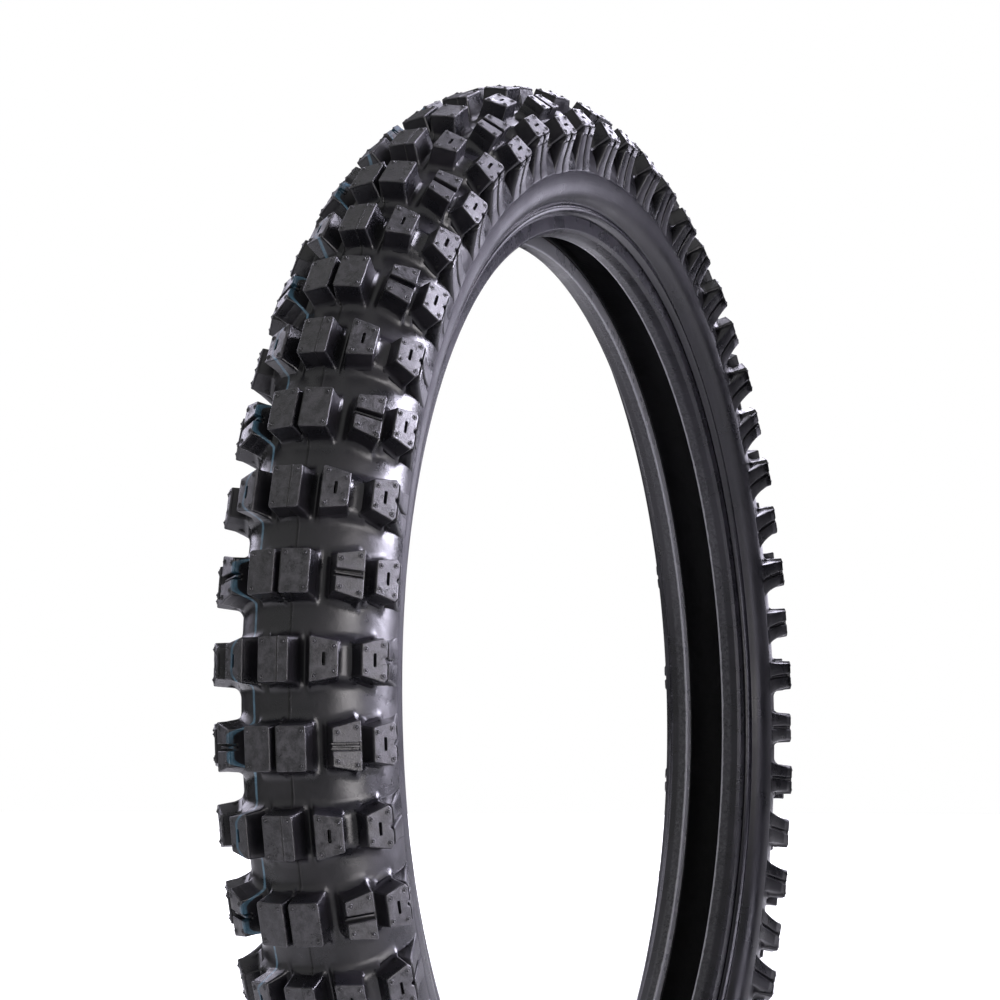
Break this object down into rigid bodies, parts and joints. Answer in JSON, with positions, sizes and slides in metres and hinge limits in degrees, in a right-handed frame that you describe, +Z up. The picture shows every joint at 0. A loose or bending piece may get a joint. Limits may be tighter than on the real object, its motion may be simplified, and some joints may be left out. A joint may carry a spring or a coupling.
{
  "type": "motorcycle tyre",
  "caption": "Off-road motorcycle front tyre with tall separate knobs, round crown, cord casing, wire beads and an open inside for a tube.",
  "frame": {"origin": "wheel centre: on the axle line, in the tyre's centre plane", "axes": "+Z up with the tyre upright, the axle along Y, +Y to the tyre's left side; the flat top of a centre knob faces straight down"},
  "size_m": [0.6918, 0.0906, 0.6918],
  "materials": {
    "tread": "satin moulded rubber",
    "cushion": "dull",
    "ply": "rubber-coated cord",
    "liner": "dull, faint cord lines",
    "sidewall": "smooth satin rubber",
    "chafer": "satin, fine woven print",
    "filler": "dull hard rubber",
    "bead_fabric": "rubber-coated fabric",
    "wire": "bronze-coated"
  },
  "bodies": {
    "root": {"tread": "tread", "tread_cushion": "cushion", "breaker_ply": "ply", "carcass_ply_outer": "ply", "carcass_ply_inner": "ply", "inner_liner": "liner", "sidewall_left": "sidewall", "sidewall_right": "sidewall", "chafer_left": "chafer", "chafer_right": "chafer", "bead_filler_left": "filler", "bead_filler_right": "filler", "bead_wrap_left": "bead_fabric", "bead_wrap_right": "bead_fabric", "bead_wire_left_1": "wire", "bead_wire_left_2": "wire", "bead_wire_left_3": "wire", "bead_wire_left_4": "wire", "bead_wire_right_1": "wire", "bead_wire_right_2": "wire", "bead_wire_right_3": "wire", "bead_wire_right_4": "wire"}
  },
  "joints": []
}
